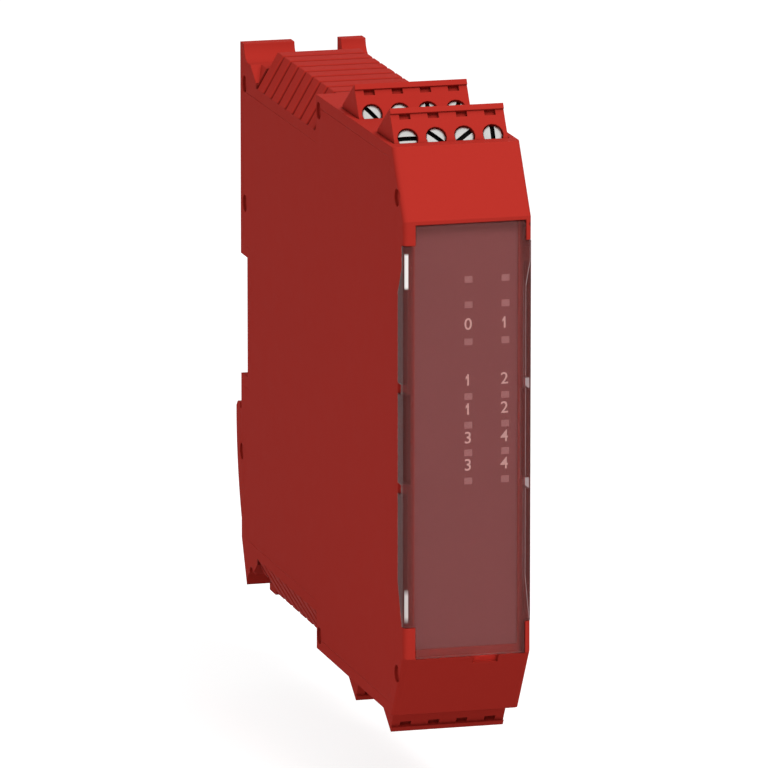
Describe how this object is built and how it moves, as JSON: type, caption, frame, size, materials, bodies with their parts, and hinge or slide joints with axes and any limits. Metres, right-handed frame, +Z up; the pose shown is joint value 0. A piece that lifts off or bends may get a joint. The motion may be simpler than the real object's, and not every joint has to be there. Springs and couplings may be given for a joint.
{
  "type": "safety relay",
  "caption": "Slim red DIN-rail safety relay module with plug-in screw terminals, smoked status cover, ribbed vents and a sprung rail latch.",
  "frame": {"origin": "middle of the rail seat: where the centre line of a 35 mm DIN rail meets the plane of the seat faces", "axes": "+X across the module to its right seen from the front, +Y out of the back towards the rail, +Z up"},
  "size_m": [0.0226, 0.1145, 0.1088],
  "materials": {
    "red_plastic": "fine satin moulding",
    "smoked_plastic": "clear smoked, polished",
    "panel_film": "satin printed panel",
    "light_guide": "milky clear moulding",
    "screw_steel": "zinc plated",
    "clamp_brass": "nickel plated brass",
    "contact_tin": "tin plated",
    "spring_steel": "drawn wire",
    "header_black": "moulded",
    "board_green": "solder mask",
    "relay_case": "moulded",
    "ferrite": "ground ferrite",
    "winding_tape": "yellow tape",
    "capacitor_sleeve": "shrink sleeve",
    "chip_black": "moulded",
    "led_white": "moulded",
    "fuse_white": "glazed",
    "crystal_can": "drawn can"
  },
  "bodies": {
    "housing": {"board_link": "header_black", "bottom_front_header_body": "header_black", "bottom_front_header_pins": "contact_tin", "bottom_rear_header_body": "header_black", "bottom_rear_header_pins": "contact_tin", "bus_contact_block": "header_black", "bus_contacts": "contact_tin", "capacitors": "capacitor_sleeve", "crystal": "crystal_can", "front_board": "board_green", "front_leds": "led_white", "front_panel": "panel_film", "fuse": "fuse_white", "housing_shell": "red_plastic", "latch_spring": "spring_steel", "light_guide_left": "light_guide", "light_guide_right": "light_guide", "main_board": "board_green", "output_drivers": "chip_black", "processor_a": "chip_black", "processor_b": "chip_black", "relay_1": "relay_case", "relay_2": "relay_case", "relay_3": "relay_case", "relay_4": "relay_case", "side_cover": "red_plastic", "top_front_header_body": "header_black", "top_front_header_pins": "contact_tin", "top_rear_header_body": "header_black", "top_rear_header_pins": "contact_tin", "transformer_core": "ferrite", "transformer_windings": "winding_tape"},
    "status_cover": {"status_cover": "smoked_plastic"},
    "rail_latch": {"rail_latch": "red_plastic"},
    "top_front_plug": {"top_front_plug_body": "red_plastic", "top_front_plug_screws": "screw_steel", "top_front_plug_clamps": "clamp_brass", "top_front_plug_contacts": "contact_tin"},
    "top_rear_plug": {"top_rear_plug_body": "red_plastic", "top_rear_plug_screws": "screw_steel", "top_rear_plug_clamps": "clamp_brass", "top_rear_plug_contacts": "contact_tin"},
    "bottom_front_plug": {"bottom_front_plug_body": "red_plastic", "bottom_front_plug_screws": "screw_steel", "bottom_front_plug_clamps": "clamp_brass", "bottom_front_plug_contacts": "contact_tin"},
    "bottom_rear_plug": {"bottom_rear_plug_body": "red_plastic", "bottom_rear_plug_screws": "screw_steel", "bottom_rear_plug_clamps": "clamp_brass", "bottom_rear_plug_contacts": "contact_tin"}
  },
  "joints": [
    {"name": "status_cover_hinge", "type": "hinge", "parent": "housing", "child": "status_cover", "pos_m": [0, -0.1098, 0.0365], "axis": [-1, 0, 0], "range_deg": [0, 95]},
    {"name": "rail_latch_slide", "type": "slide", "parent": "housing", "child": "rail_latch", "axis": [0, 0, -1], "range_m": [0, 0.003], "stiffness_N_per_m": 1500, "springref_m": -0.003, "deforming": ["latch_spring"]},
    {"name": "top_front_plug_pull", "type": "slide", "parent": "housing", "child": "top_front_plug", "axis": [0, 0.5359, 0.8443], "range_m": [0, 0.016]},
    {"name": "top_rear_plug_pull", "type": "slide", "parent": "housing", "child": "top_rear_plug", "axis": [0, 0.5359, 0.8443], "range_m": [0, 0.016]},
    {"name": "bottom_front_plug_pull", "type": "slide", "parent": "housing", "child": "bottom_front_plug", "axis": [0, 0.5359, -0.8443], "range_m": [0, 0.016]},
    {"name": "bottom_rear_plug_pull", "type": "slide", "parent": "housing", "child": "bottom_rear_plug", "axis": [0, 0.5359, -0.8443], "range_m": [0, 0.016]}
  ]
}
